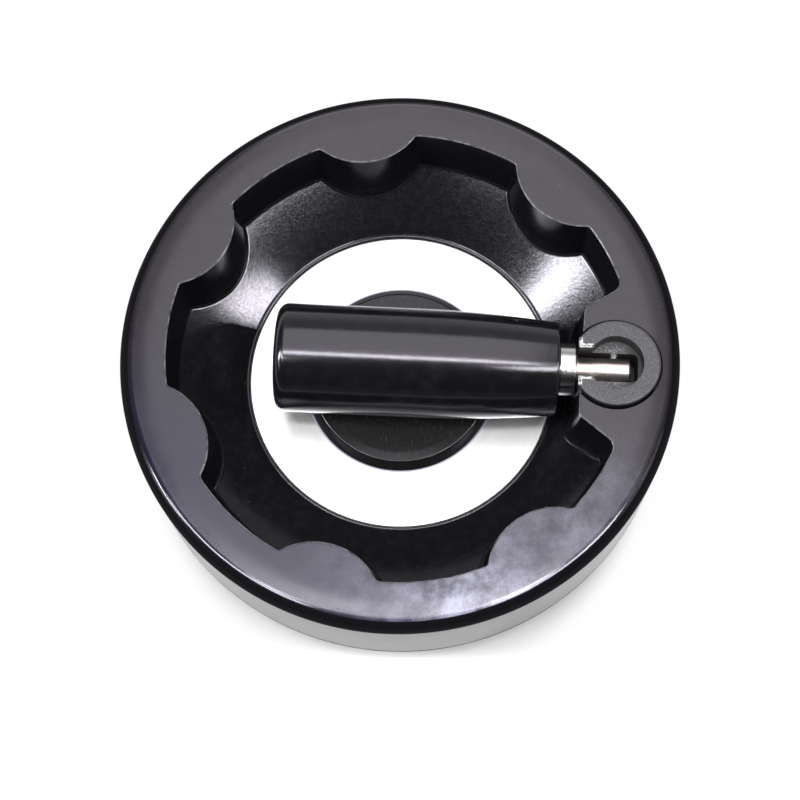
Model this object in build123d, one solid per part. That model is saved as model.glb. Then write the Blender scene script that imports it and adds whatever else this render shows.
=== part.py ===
from build123d import *
from math import cos, hypot, pi, radians, sin, tan
import os

# Machine handwheel with a fold-away revolving handle, in millimetres.
# The origin is the middle of the hub's back face, +Z is the wheel's axis towards the
# rim face, the handle lies along X, its socket towards +X and its folded grip towards -X.

# ---------------------------------------------------------------- driving dimensions
# Clearances
RUNNING_CLEARANCE = 0.05      # radial, turning and sliding fits
FIT_CLEARANCE = 0.02          # radial, pressed and screwed pieces
SEAT_GAP = 0.1                # between pieces that only rest against each other
LOOSE_CLEARANCE = 0.2         # radial, plain holes for screws and washers
END_PLAY = 0.3                # between moving pieces, end to end and side to side
OVERCUT = 1.0                 # how far a cutting solid runs past the face it opens
SLACK = 1e-3                  # how near an edge lies to the place it is looked for

# Wheel moulding
WHEEL_DIAMETER = 125.5
FACE_HEIGHT = 44.0            # rim face above the hub's back face
RIM_DEPTH = 32.0              # rim face to the rim's back edge
RIM_FACE_ROUND = 3.0
RIM_BACK_ROUND = 2.0
SKIRT_THICKNESS = 9.0         # rim wall at its back edge
SKIRT_DRAFT = 8.0             # degrees, inside of the skirt
SKIRT_FOOT_ROUND = 1.0
DISH_WALL = 6.5               # dish, front to back, where it meets the rim
DISH_BACK_FALL = 1.0          # how much lower the dish's back is under the lobes' crests
BACK_ROUND = 2.5
LIP_HEIGHT = 0.5              # raised edge of the dish round the hub's face
LIP_WIDTH = 0.7
PLATE_WALL = 5.5              # moulding behind the hub's flange
SHROUD_WALL = 4.0             # moulding round the hub's boss
SHROUD_FLARE = 1.0            # how much wider the shroud is where it leaves the plate
SHROUD_SETBACK = 2.0          # hub's back face stands out of the shroud by this
SHROUD_ROUND = 1.0

# Finger wave inside the rim
LOBE_COUNT = 7
WAVE_TURN = -1.8              # degrees, how the wave stands to the handle's line
RIM_WIDTH = 10.6              # rim face at the middle of a pocket
LOBE_HEIGHT = 6.1             # pocket to the lobe's crest
LOBE_RADIUS = 15.2
WALL_DRAFT = 5.5              # degrees
WAVE_CORNER_ROUND = 1.2
WAVE_EDGE_ROUND = 0.4         # top edge of the wave
WAVE_FOOT_ROUND = 1.0         # foot of the wave, on the dish
WALL_DEPTH = 13.6             # rim face to the dish, at the pocket's wall
DISH_BEND = 0.2               # how far the dish bulges above a straight cone

# Lobe that carries the handle
HANDLE_LOBE_SETBACK = 0.7     # its flat lies behind the socket's flat by this, at the face
HANDLE_LOBE_WALL = 2.05       # beside the socket's hole
HANDLE_LOBE_SIDE = 0.3        # its middle beside the socket's axis
HANDLE_LOBE_FLANK = 35.5      # degrees from the radius
HANDLE_LOBE_ROUND = 2.0
HANDLE_LOBE_FOOT_ROUND = 2.4  # between its flank and the pocket

# Hub
HUB_FLANGE_RADIUS = 35.5
HUB_FLANGE_THICKNESS = 5.0
HUB_FACE_DEPTH = 22.4         # rim face to the hub's turned face
HUB_FLANGE_CHAMFER = 0.4
HUB_BOSS_RADIUS = 19.0
SHAFT_BORE_RADIUS = 7.0
BORE_CHAMFER = 0.8
HUB_RECESS_RADIUS = 16.0
HUB_RECESS_DEPTH = 4.5

# Hub set screw
SET_SCREW_RADIUS = 3.0
SET_SCREW_LENGTH = 10.0
SET_SCREW_HEIGHT = 6.5
SET_SCREW_POINT = 1.0         # chamfer and cup of its point
SET_SCREW_ACCESS = 0.5        # radial, hole through the shroud
HEX_KEY_FLATS = 3.0

# Centre cap
CAP_RADIUS = 22.4
CAP_TOP_RADIUS = 20.4
CAP_HEIGHT = 2.2
CAP_WALL = 1.8
CAP_RIM_WIDTH = 1.2
CAP_DISH = 0.35
CAP_LABEL_RADIUS = 12.0
CAP_LABEL_DEPTH = 0.2
CAP_SKIRT_LENGTH = 3.6
CAP_SKIRT_WALL = 1.5
CAP_SKIRT_SLOT = 3.0
CAP_SKIRT_SLOTS = 6

# Handle socket
SOCKET_INSET = 14.6           # its axis from the rim's outside
SOCKET_SIDE = -1.0            # handle's line beside the wheel's axis, along Y
SOCKET_RADIUS = 9.9
SOCKET_PROUD = 1.5            # above the rim face
SOCKET_EDGE_ROUND = 0.6
SOCKET_FLAT = 8.25            # its flat from its axis
SOCKET_FLAT_CHAMFER = 0.5
SLOT_MOUTH_CHAMFER = 0.5      # top edges of the slot, between the flat and the counterbore
SOCKET_FLOOR = 2.5            # metal under the slot
SOCKET_GAP = 0.5              # radial, between the socket and its hole in the rim
COUNTERBORE_DEPTH = 4.0
SLOT_END = 5.2                # closed end of the slot beyond the socket's axis
SLOT_END_ROUND = 1.5
SHANK_RADIUS = 5.0
SHANK_LENGTH = 8.0

# Socket screw and washer, from the back
SCREW_RADIUS = 2.5
SCREW_LENGTH = 14.0
SCREW_TIP_WALL = 1.0          # metal between the screw's tip and the slot
SCREW_HEAD_RADIUS = 4.25
SCREW_HEAD_HEIGHT = 5.0
SCREW_HEAD_CHAMFER = 0.4
SCREW_KEY_FLATS = 4.0
SCREW_KEY_DEPTH = 2.5
WASHER_RADIUS = 5.0
WASHER_THICKNESS = 1.0
SCREW_BOSS_WALL = 3.2         # moulding round the washer's counterbore

# Hinge
PIN_DEPTH = 5.7               # pin's axis below the rim face
PIN_RADIUS = 1.25
PIN_CHAMFER = 0.25
PIN_RECESS = 1.3              # pin's end below the socket's round side

# Stem
STEM_RADIUS = 3.0
STEM_TAIL = 3.6               # stem beyond the pin
STEM_REACH = 46.0             # pin to the stem's screwed end
STEM_CHAMFER = 0.4
STEM_SCREW_RADIUS = 1.5
STEM_SCREW_LENGTH = 8.0
STEM_SCREW_HEAD_RADIUS = 2.75
STEM_SCREW_HEAD_HEIGHT = 2.0
STEM_SCREW_HEAD_ROUND = 0.6
STEM_SCREW_SLOT_WIDTH = 0.8
STEM_SCREW_SLOT_DEPTH = 1.0
SPRING_WASHER_THICKNESS = 1.0

# Return spring
SPRING_WIRE_RADIUS = 0.4
SPRING_TURNS = 9
WIRE_SIDES = 8                # the wire is drawn with this many flats

# Locking sleeve
COLLAR_CLEARANCE = 0.4        # collar to the socket's flat, handle folded
COLLAR_STEP = 0.75            # collar's edge above the sleeve
COLLAR_THICKNESS = 3.7
COLLAR_CHAMFER = 0.4
SLEEVE_WALL = 1.0
SLEEVE_LENGTH = 40.0          # tube behind the collar
SLEEVE_GUIDE = 7.5            # length of the stem's guide behind the collar

# Grip and what keeps it on
GRIP_LENGTH = 63.1
GRIP_PIVOT_RADIUS = 10.45
GRIP_FREE_RADIUS = 12.3
GRIP_SWELL = 31.5             # length over which it swells from one to the other
GRIP_PIVOT_ROUND = 0.6
GRIP_FREE_ROUND = 2.5
GRIP_WASHER_STEP = 1.6        # washer's edge above the sleeve
GRIP_WASHER_THICKNESS = 0.8
RETAINING_RING_STEP = 1.1     # ring's edge above the sleeve
RETAINING_RING_THICKNESS = 1.0
RETAINING_RING_GAP = 50.0     # degrees of the ring's opening
RING_GROOVE_DEPTH = 0.45
RING_END = 3.0                # groove to the sleeve's end
PLUG_LENGTH = 6.0
PLUG_WALL = 1.6
PLUG_RECESS = 0.4

# ---------------------------------------------------------------- places that follow
RIM_RADIUS = WHEEL_DIAMETER / 2
RIM_BACK = FACE_HEIGHT - RIM_DEPTH
POCKET_RADIUS = RIM_RADIUS - RIM_WIDTH
LOBE_CREST_RADIUS = POCKET_RADIUS - LOBE_HEIGHT
WALL_BASE_RADIUS = POCKET_RADIUS - WALL_DEPTH * tan(radians(WALL_DRAFT))
WALL_BASE = FACE_HEIGHT - WALL_DEPTH
DISH_BACK = WALL_BASE - DISH_WALL
HUB_FACE = FACE_HEIGHT - HUB_FACE_DEPTH
FLANGE_BACK = HUB_FACE - HUB_FLANGE_THICKNESS
PLATE_BACK = FLANGE_BACK - PLATE_WALL
SHROUD_RADIUS = HUB_BOSS_RADIUS + SHROUD_WALL
HUB_RECESS_FLOOR = HUB_FACE - HUB_RECESS_DEPTH

# Radii from the stem outwards
SLOT_WIDTH = 2 * (STEM_RADIUS + END_PLAY)
SPRING_COIL_RADIUS = STEM_RADIUS + LOOSE_CLEARANCE + SPRING_WIRE_RADIUS
SPRING_ROOM_RADIUS = SPRING_COIL_RADIUS + SPRING_WIRE_RADIUS + LOOSE_CLEARANCE
SPRING_WASHER_RADIUS = SPRING_ROOM_RADIUS - END_PLAY
SLEEVE_RADIUS = SPRING_ROOM_RADIUS + SLEEVE_WALL
RING_GROOVE_RADIUS = SLEEVE_RADIUS - RING_GROOVE_DEPTH
COLLAR_RADIUS = SLEEVE_RADIUS + COLLAR_STEP
COUNTERBORE_RADIUS = COLLAR_RADIUS + LOOSE_CLEARANCE
GRIP_BORE_RADIUS = SLEEVE_RADIUS + RUNNING_CLEARANCE
GRIP_WASHER_RADIUS = SLEEVE_RADIUS + GRIP_WASHER_STEP
GRIP_BACK_BORE_RADIUS = GRIP_WASHER_RADIUS + LOOSE_CLEARANCE

# The handle socket and its screw, from the face downwards
SOCKET_OFFSET = RIM_RADIUS - SOCKET_INSET
SOCKET_TOP = FACE_HEIGHT + SOCKET_PROUD
PIN_HEIGHT = FACE_HEIGHT - PIN_DEPTH
SLOT_FLOOR = PIN_HEIGHT - hypot(STEM_RADIUS, STEM_TAIL) - END_PLAY
SOCKET_BOTTOM = SLOT_FLOOR - SOCKET_FLOOR
SHANK_BOTTOM = SOCKET_BOTTOM - SHANK_LENGTH
SCREW_TOP = SLOT_FLOOR - SCREW_TIP_WALL
SCREW_SEAT = SCREW_TOP - SCREW_LENGTH
SCREW_COUNTERBORE_RADIUS = WASHER_RADIUS + LOOSE_CLEARANCE

# Along the stem, from the pin outwards
SOCKET_AXIS = Pos(SOCKET_OFFSET, SOCKET_SIDE, 0)
PIN_AXIS = SOCKET_AXIS * Pos(0, 0, PIN_HEIGHT) * Rot(0, -90, 0)
COLLAR_FACE = SOCKET_FLAT + COLLAR_CLEARANCE
COLLAR_BACK = COLLAR_FACE + COLLAR_THICKNESS
SPRING_SEAT = COLLAR_BACK + SLEEVE_GUIDE
SLEEVE_END = COLLAR_BACK + SLEEVE_LENGTH
RING_SEAT = SLEEVE_END - RING_END
RING_GROOVE_END = RING_SEAT + RETAINING_RING_THICKNESS + SEAT_GAP
GRIP_START = COLLAR_BACK + END_PLAY
GRIP_END = GRIP_START + GRIP_LENGTH
GRIP_WASHER_SEAT = RING_SEAT - SEAT_GAP - GRIP_WASHER_THICKNESS
GRIP_SHOULDER = GRIP_WASHER_SEAT - SEAT_GAP

UPWARDS = (Align.CENTER, Align.CENTER, Align.MIN)
DOWNWARDS = (Align.CENTER, Align.CENTER, Align.MAX)


# ---------------------------------------------------------------- helpers
def revolved(*points):
    """A ring of revolution about Z from an outline of (radius, height) points."""
    return revolve(make_face(Polyline(*[(r, 0, z) for r, z in points], close=True)), Axis.Z)


def tube(outer, inner, bottom, top):
    """A plain round tube about Z between two heights."""
    return revolved((inner, bottom), (outer, bottom), (outer, top), (inner, top))


def rod(radius, bottom, top):
    """A plain round bar about Z between two heights."""
    return Pos(0, 0, bottom) * Cylinder(radius, top - bottom, align=UPWARDS)


def block(x, y, z):
    """A block between three (low, high) pairs."""
    size = [high - low for low, high in (x, y, z)]
    return Pos(x[0], y[0], z[0]) * Box(*size, align=(Align.MIN, Align.MIN, Align.MIN))


def hex_prism(flats, bottom, top):
    """A hexagonal bar about Z, measured across its flats."""
    hexagon = RegularPolygon(flats / 2, 6, major_radius=False)
    return Pos(0, 0, bottom) * extrude(hexagon, top - bottom)


def rim_circles(shape, radius, height):
    """The full circles of one radius at one height."""
    circles = shape.edges().filter_by(GeomType.CIRCLE)
    near = [
        e for e in circles
        if abs(e.radius - radius) < SLACK and abs(e.arc_center.Z - height) < SLACK
    ]
    return ShapeList(near)


def rounded(outline, *corners):
    """Rounds an outline in the XZ plane at each (radius, height, size of round)."""
    for radius, height, size in corners:
        corner = outline.vertices().sort_by_distance((radius, 0, height))[0]
        outline = fillet(corner, size)
    return outline


def reach(point):
    """A point's distance from the wheel's axis."""
    return hypot(point.X, point.Y)


def follows(edge, height, slack):
    """Whether an edge between the hub and the rim keeps to a height given by its radius."""
    points = [edge @ share for share in (0.1, 0.5, 0.9)]
    outside = all(reach(p) > HUB_FLANGE_RADIUS + 2 * LIP_WIDTH for p in points)
    return outside and all(abs(p.Z - height(reach(p))) < slack for p in points)


def cross_rod(radius, start, end):
    """A round bar along -Y at the origin's height, between two distances."""
    return Rot(90, 0, 0) * rod(radius, start, end)


def on_stem(shape):
    """Turns a shape made about Z from the pin outwards to lie along the folded stem."""
    return PIN_AXIS * shape


def on_socket(shape):
    """Moves a shape made about Z to the socket's axis."""
    return SOCKET_AXIS * shape


# ---------------------------------------------------------------- wheel
def dish_height(radius):
    """Height of the dish's front at a radius: a cone with a bulge between its two ends."""
    inner = HUB_FLANGE_RADIUS + LIP_WIDTH
    foot = HUB_FACE + LIP_HEIGHT
    share = (radius - inner) / (WALL_BASE_RADIUS - inner)
    return foot + share * (WALL_BASE - foot) + 4 * DISH_BEND * share * (1 - share)


def above_dish():
    """The room in front of the dish and the hub; the dish is an arc past the pocket's wall."""
    start = HUB_FLANGE_RADIUS + LIP_WIDTH
    end = WALL_BASE_RADIUS + OVERCUT
    radii = (start, (start + end) / 2, end)
    front = ThreePointArc(*[(r, 0, dish_height(r)) for r in radii])
    top = FACE_HEIGHT + OVERCUT
    sides = Polyline(front @ 1, (RIM_RADIUS, 0, dish_height(end)), (RIM_RADIUS, 0, top),
                     (0, 0, top), (0, 0, HUB_FACE), (HUB_FLANGE_RADIUS, 0, HUB_FACE), front @ 0)
    return revolve(make_face([front, sides]), Axis.Z)


def lobe_centre(index):
    """Middle of a plain lobe's circle."""
    angle = 2 * pi * index / LOBE_COUNT + radians(WAVE_TURN)
    distance = LOBE_CREST_RADIUS + LOBE_RADIUS
    return distance * cos(angle), distance * sin(angle)


def handle_lobe(depth):
    """The flat-fronted lobe for the handle, wider by its draft as it goes down."""
    flat = HANDLE_LOBE_SETBACK - SOCKET_FLAT
    width = SOCKET_RADIUS + SOCKET_GAP + HANDLE_LOBE_WALL
    outer = SOCKET_INSET - RIM_FACE_ROUND
    spread = width + (outer - flat) * tan(radians(HANDLE_LOBE_FLANK))
    corners = ((flat, -width), (outer, -spread), (outer, spread), (flat, width))
    outline = make_face(Polyline(*corners, close=True))
    outline = fillet(outline.vertices().group_by(Axis.X)[0], HANDLE_LOBE_ROUND)
    lobe = Pos(0, HANDLE_LOBE_SIDE, 0) * extrude(outline, -depth, taper=-WALL_DRAFT)
    return on_socket(Pos(0, 0, FACE_HEIGHT) * Rot(0, 0, WAVE_TURN) * lobe)


def pocket_corners(hollow):
    """The upright corners between the pockets and the lobes, from the handle's outwards."""
    steep = cos(radians(2 * WALL_DRAFT))
    corners = ShapeList(
        e for e in hollow.edges()
        if abs((e % 0.5).Z) > steep and reach(e @ 0.5) > LOBE_CREST_RADIUS
    )
    return corners.sort_by_distance((SOCKET_OFFSET, SOCKET_SIDE, FACE_HEIGHT))


def wave_hollow():
    """Everything inside the rim above the dish: a drafted disc less its seven lobes."""
    depth = FACE_HEIGHT - HUB_FACE
    shrink = depth * tan(radians(WALL_DRAFT))
    hollow = Cone(POCKET_RADIUS - shrink, POCKET_RADIUS, depth, align=DOWNWARDS)
    for index in range(1, LOBE_COUNT):
        lobe = Cone(LOBE_RADIUS + shrink, LOBE_RADIUS, depth, align=DOWNWARDS)
        hollow -= Pos(*lobe_centre(index)) * lobe
    hollow = Pos(0, 0, FACE_HEIGHT) * hollow - handle_lobe(depth)
    hollow = fillet(pocket_corners(hollow)[2:], WAVE_CORNER_ROUND)
    hollow = fillet(pocket_corners(hollow)[:2], HANDLE_LOBE_FOOT_ROUND) & above_dish()
    foot = [e for e in hollow.edges() if follows(e, dish_height, DISH_BEND / 10)]
    return fillet(foot, WAVE_FOOT_ROUND)


def wheel_section():
    """Half section of the moulding before the wave is cut into it."""
    skirt_foot = RIM_RADIUS - SKIRT_THICKNESS
    skirt_top = skirt_foot - (DISH_BACK - RIM_BACK) * tan(radians(SKIRT_DRAFT))
    shroud_root = SHROUD_RADIUS + SHROUD_FLARE
    crest_back = DISH_BACK - DISH_BACK_FALL
    points = (
        (HUB_BOSS_RADIUS, SHROUD_SETBACK),
        (SHROUD_RADIUS, SHROUD_SETBACK),
        (shroud_root, PLATE_BACK),
        (HUB_FLANGE_RADIUS, PLATE_BACK),
        (LOBE_CREST_RADIUS, crest_back),
        (skirt_top, DISH_BACK),
        (skirt_foot, RIM_BACK),
        (RIM_RADIUS, RIM_BACK),
        (RIM_RADIUS, FACE_HEIGHT),
        (HUB_FLANGE_RADIUS, FACE_HEIGHT),
        (HUB_FLANGE_RADIUS, FLANGE_BACK),
        (HUB_BOSS_RADIUS, FLANGE_BACK),
    )
    return rounded(
        make_face(Polyline(*[(r, 0, z) for r, z in points], close=True)),
        (RIM_RADIUS, FACE_HEIGHT, RIM_FACE_ROUND),
        (RIM_RADIUS, RIM_BACK, RIM_BACK_ROUND),
        (skirt_foot, RIM_BACK, SKIRT_FOOT_ROUND),
        (skirt_top, DISH_BACK, BACK_ROUND),
        (LOBE_CREST_RADIUS, crest_back, BACK_ROUND),
        (HUB_FLANGE_RADIUS, PLATE_BACK, BACK_ROUND),
        (shroud_root, PLATE_BACK, BACK_ROUND),
        (SHROUD_RADIUS, SHROUD_SETBACK, SHROUD_ROUND),
    )


def wheel_body():
    """The rim, its finger wave, the dish and the shroud round the hub, moulded in one."""
    body = revolve(wheel_section(), Axis.Z)
    boss = SCREW_COUNTERBORE_RADIUS + SCREW_BOSS_WALL
    body += on_socket(rod(boss, RIM_BACK, WALL_BASE))
    body -= wave_hollow()
    wave = [
        e for e in body.edges()
        if follows(e, lambda r: FACE_HEIGHT, SLACK) and reach(e @ 0.5) < POCKET_RADIUS + SLACK
    ]
    body = fillet(wave, WAVE_EDGE_ROUND)
    body -= on_socket(rod(SOCKET_RADIUS + SOCKET_GAP, SOCKET_BOTTOM, SOCKET_TOP))
    body -= on_socket(rod(SHANK_RADIUS + SEAT_GAP, SHANK_BOTTOM, SOCKET_BOTTOM))
    body -= on_socket(rod(SCREW_RADIUS + LOOSE_CLEARANCE, RIM_BACK, SHANK_BOTTOM))
    body -= on_socket(rod(SCREW_COUNTERBORE_RADIUS, RIM_BACK, SCREW_SEAT + WASHER_THICKNESS))
    access = cross_rod(SET_SCREW_RADIUS + SET_SCREW_ACCESS, HUB_BOSS_RADIUS,
                       SHROUD_RADIUS + SHROUD_FLARE + OVERCUT)
    return body - Pos(0, 0, SET_SCREW_HEIGHT) * access


def hub_core():
    """The turned hub: boss, flange with its bright face, bore and recess for the cap."""
    hub = revolved(
        (SHAFT_BORE_RADIUS, 0),
        (HUB_BOSS_RADIUS, 0),
        (HUB_BOSS_RADIUS, FLANGE_BACK),
        (HUB_FLANGE_RADIUS, FLANGE_BACK),
        (HUB_FLANGE_RADIUS, HUB_FACE),
        (HUB_RECESS_RADIUS, HUB_FACE),
        (HUB_RECESS_RADIUS, HUB_RECESS_FLOOR),
        (SHAFT_BORE_RADIUS, HUB_RECESS_FLOOR),
    )
    for radius, height, size in (
        (HUB_FLANGE_RADIUS, HUB_FACE, HUB_FLANGE_CHAMFER),
        (SHAFT_BORE_RADIUS, 0, BORE_CHAMFER),
        (SHAFT_BORE_RADIUS, HUB_RECESS_FLOOR, BORE_CHAMFER),
        (HUB_BOSS_RADIUS, 0, BORE_CHAMFER),
    ):
        hub = chamfer(rim_circles(hub, radius, height), size)
    tapping = cross_rod(SET_SCREW_RADIUS + FIT_CLEARANCE, 0, HUB_BOSS_RADIUS + OVERCUT)
    return hub - Pos(0, 0, SET_SCREW_HEIGHT) * tapping


def hub_set_screw():
    """Headless set screw with a hexagon socket and a cup point, just short of the shaft."""
    screw = rod(SET_SCREW_RADIUS, 0, SET_SCREW_LENGTH)
    screw = chamfer(rim_circles(screw, SET_SCREW_RADIUS, 0), SET_SCREW_POINT)
    screw -= Cone(SET_SCREW_RADIUS - SET_SCREW_POINT, 0, SET_SCREW_POINT, align=UPWARDS)
    screw -= hex_prism(HEX_KEY_FLATS, SET_SCREW_LENGTH - HEX_KEY_FLATS, SET_SCREW_LENGTH)
    return Pos(0, -SHAFT_BORE_RADIUS - SEAT_GAP, SET_SCREW_HEIGHT) * Rot(90, 0, 0) * screw


def centre_cap():
    """Bevelled cap with a dished top and a slotted skirt that snaps into the hub."""
    top = HUB_FACE + CAP_HEIGHT
    under = top - CAP_WALL
    foot = HUB_FACE - CAP_SKIRT_LENGTH
    middle = top - CAP_DISH
    dish_edge = CAP_TOP_RADIUS - CAP_RIM_WIDTH
    skirt = HUB_RECESS_RADIUS - FIT_CLEARANCE
    inside = skirt - CAP_SKIRT_WALL
    side = Polyline((0, 0, middle), (0, 0, under), (inside, 0, under), (inside, 0, foot),
                    (skirt, 0, foot), (skirt, 0, HUB_FACE), (CAP_RADIUS, 0, HUB_FACE),
                    (CAP_TOP_RADIUS, 0, top), (dish_edge, 0, top))
    dish = ThreePointArc((dish_edge, 0, top), (dish_edge / 2, 0, middle + CAP_DISH / 4),
                         (0, 0, middle))
    cap = revolve(make_face([side, dish]), Axis.Z)
    cap -= rod(CAP_LABEL_RADIUS, middle - CAP_LABEL_DEPTH, top)
    half = CAP_SKIRT_SLOT / 2
    slot = block((0, HUB_RECESS_RADIUS + OVERCUT), (-half, half), (foot, HUB_FACE - SEAT_GAP))
    for index in range(CAP_SKIRT_SLOTS):
        cap -= Rot(0, 0, 360 * (index + 0.5) / CAP_SKIRT_SLOTS) * slot
    return cap


# ---------------------------------------------------------------- handle socket
def handle_socket():
    """Round block with the collar's counterbore, the stem's slot and a tapped shank."""
    body = rod(SOCKET_RADIUS, SOCKET_BOTTOM, SOCKET_TOP)
    body = fillet(rim_circles(body, SOCKET_RADIUS, SOCKET_TOP), SOCKET_EDGE_ROUND)
    side = SOCKET_RADIUS + OVERCUT
    body -= block((-side, -SOCKET_FLAT), (-side, side), (SOCKET_BOTTOM, SOCKET_TOP))
    lip = make_face(Polyline((-SOCKET_FLAT, 0, SOCKET_TOP - SOCKET_FLAT_CHAMFER),
                             (SOCKET_FLAT_CHAMFER - SOCKET_FLAT, 0, SOCKET_TOP),
                             (-SOCKET_FLAT, 0, SOCKET_TOP), close=True))
    body -= extrude(lip, side, both=True)
    body -= rod(COUNTERBORE_RADIUS, SOCKET_TOP - COUNTERBORE_DEPTH, SOCKET_TOP)
    half = SLOT_WIDTH / 2
    slot = block((-side, SLOT_END), (-half, half), (SLOT_FLOOR, SOCKET_TOP))
    closed_end = slot.edges().filter_by(Axis.Z).group_by(Axis.X)[-1]
    body -= fillet(closed_end, SLOT_END_ROUND)
    edge, foot = half + SLOT_MOUTH_CHAMFER, SOCKET_TOP - SLOT_MOUTH_CHAMFER
    mouth = make_face(Polyline((0, half, foot), (0, edge, SOCKET_TOP), (0, -edge, SOCKET_TOP),
                               (0, -half, foot), close=True))
    body -= extrude(mouth, side, dir=(-1, 0, 0))
    body += rod(SHANK_RADIUS, SHANK_BOTTOM, SOCKET_BOTTOM)
    body -= rod(SCREW_RADIUS + FIT_CLEARANCE, SHANK_BOTTOM, SCREW_TOP + SEAT_GAP)
    pin_hole = cross_rod(PIN_RADIUS + FIT_CLEARANCE, -SOCKET_RADIUS, SOCKET_RADIUS)
    return on_socket(body) - PIN_AXIS * pin_hole


def hinge_pin():
    """Plain pin across the slot that the stem turns on."""
    half = SOCKET_RADIUS - PIN_RECESS
    pin = rod(PIN_RADIUS, -half, half)
    for end in (-half, half):
        pin = chamfer(rim_circles(pin, PIN_RADIUS, end), PIN_CHAMFER)
    return PIN_AXIS * Rot(90, 0, 0) * pin


def socket_screw():
    """Socket-head cap screw that holds the handle socket from the rim's back."""
    foot = SCREW_SEAT - SCREW_HEAD_HEIGHT
    screw = rod(SCREW_RADIUS, SCREW_SEAT, SCREW_TOP) + rod(SCREW_HEAD_RADIUS, foot, SCREW_SEAT)
    screw -= hex_prism(SCREW_KEY_FLATS, foot, foot + SCREW_KEY_DEPTH)
    screw = chamfer(rim_circles(screw, SCREW_HEAD_RADIUS, foot), SCREW_HEAD_CHAMFER)
    return on_socket(screw)


def socket_washer():
    """Flat washer under the socket screw's head."""
    hole = SCREW_RADIUS + LOOSE_CLEARANCE
    return on_socket(tube(WASHER_RADIUS, hole, SCREW_SEAT, SCREW_SEAT + WASHER_THICKNESS))


# ---------------------------------------------------------------- handle
def stem():
    """Round stem with the pin's eye near one end and a tapped hole in the other."""
    body = rod(STEM_RADIUS, -STEM_TAIL, STEM_REACH)
    for end in (-STEM_TAIL, STEM_REACH):
        body = chamfer(rim_circles(body, STEM_RADIUS, end), STEM_CHAMFER)
    tapping = STEM_REACH - STEM_SCREW_LENGTH - SEAT_GAP
    body -= rod(STEM_SCREW_RADIUS + FIT_CLEARANCE, tapping, STEM_REACH)
    body -= cross_rod(PIN_RADIUS + RUNNING_CLEARANCE, -STEM_RADIUS, STEM_RADIUS)
    return on_stem(body)


def spring_washer():
    """Washer on the stem's end that the return spring pushes against."""
    return on_stem(tube(SPRING_WASHER_RADIUS, STEM_SCREW_RADIUS + SEAT_GAP,
                        STEM_REACH, STEM_REACH + SPRING_WASHER_THICKNESS))


def stem_screw():
    """Slotted screw that holds the spring washer on the stem."""
    seat = STEM_REACH + SPRING_WASHER_THICKNESS
    top = seat + STEM_SCREW_HEAD_HEIGHT
    side = STEM_SCREW_HEAD_RADIUS
    head = rod(side, seat, top)
    head = fillet(rim_circles(head, side, top), STEM_SCREW_HEAD_ROUND)
    half = STEM_SCREW_SLOT_WIDTH / 2
    head -= block((-side, side), (-half, half), (top - STEM_SCREW_SLOT_DEPTH, top))
    return on_stem(rod(STEM_SCREW_RADIUS, STEM_REACH - STEM_SCREW_LENGTH, seat) + head)


def locking_sleeve():
    """Collar and tube in one: it slides on the stem and the grip turns on it."""
    sleeve = revolved(
        (STEM_RADIUS + RUNNING_CLEARANCE, COLLAR_FACE),
        (COLLAR_RADIUS, COLLAR_FACE),
        (COLLAR_RADIUS, COLLAR_BACK),
        (SLEEVE_RADIUS, COLLAR_BACK),
        (SLEEVE_RADIUS, RING_SEAT),
        (RING_GROOVE_RADIUS, RING_SEAT),
        (RING_GROOVE_RADIUS, RING_GROOVE_END),
        (SLEEVE_RADIUS, RING_GROOVE_END),
        (SLEEVE_RADIUS, SLEEVE_END),
        (SPRING_ROOM_RADIUS, SLEEVE_END),
        (SPRING_ROOM_RADIUS, SPRING_SEAT),
        (STEM_RADIUS + RUNNING_CLEARANCE, SPRING_SEAT),
    )
    sleeve = chamfer(rim_circles(sleeve, COLLAR_RADIUS, COLLAR_FACE), COLLAR_CHAMFER)
    return on_stem(sleeve)


def return_spring():
    """Compression spring on the stem, between the sleeve's inner shoulder and the washer."""
    end = SPRING_WIRE_RADIUS + SEAT_GAP
    start = SPRING_SEAT + end
    length = STEM_REACH - end - start
    path = Helix(pitch=length / SPRING_TURNS, height=length, radius=SPRING_COIL_RADIUS,
                 center=(0, 0, start))
    wire = Plane(origin=path @ 0, z_dir=path % 0) * RegularPolygon(SPRING_WIRE_RADIUS, WIRE_SIDES)
    return on_stem(sweep(wire, path=path, is_frenet=True))


def grip():
    """Swelling grip with a running bore and a wider bore for its retaining ring."""
    swell = TangentArc((GRIP_FREE_RADIUS, 0, GRIP_START + GRIP_SWELL),
                       (GRIP_PIVOT_RADIUS, 0, GRIP_START), tangent=(0, 0, -1))
    sides = Polyline(swell @ 1, (GRIP_BORE_RADIUS, 0, GRIP_START),
                     (GRIP_BORE_RADIUS, 0, GRIP_SHOULDER),
                     (GRIP_BACK_BORE_RADIUS, 0, GRIP_SHOULDER),
                     (GRIP_BACK_BORE_RADIUS, 0, GRIP_END),
                     (GRIP_FREE_RADIUS, 0, GRIP_END), swell @ 0)
    outline = rounded(
        make_face([swell, sides]),
        (GRIP_PIVOT_RADIUS, GRIP_START, GRIP_PIVOT_ROUND),
        (GRIP_FREE_RADIUS, GRIP_END, GRIP_FREE_ROUND),
    )
    return on_stem(revolve(outline, Axis.Z))


def grip_washer():
    """Washer between the grip's inner shoulder and the retaining ring."""
    return on_stem(tube(GRIP_WASHER_RADIUS, GRIP_BORE_RADIUS, GRIP_WASHER_SEAT,
                        GRIP_WASHER_SEAT + GRIP_WASHER_THICKNESS))


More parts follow.
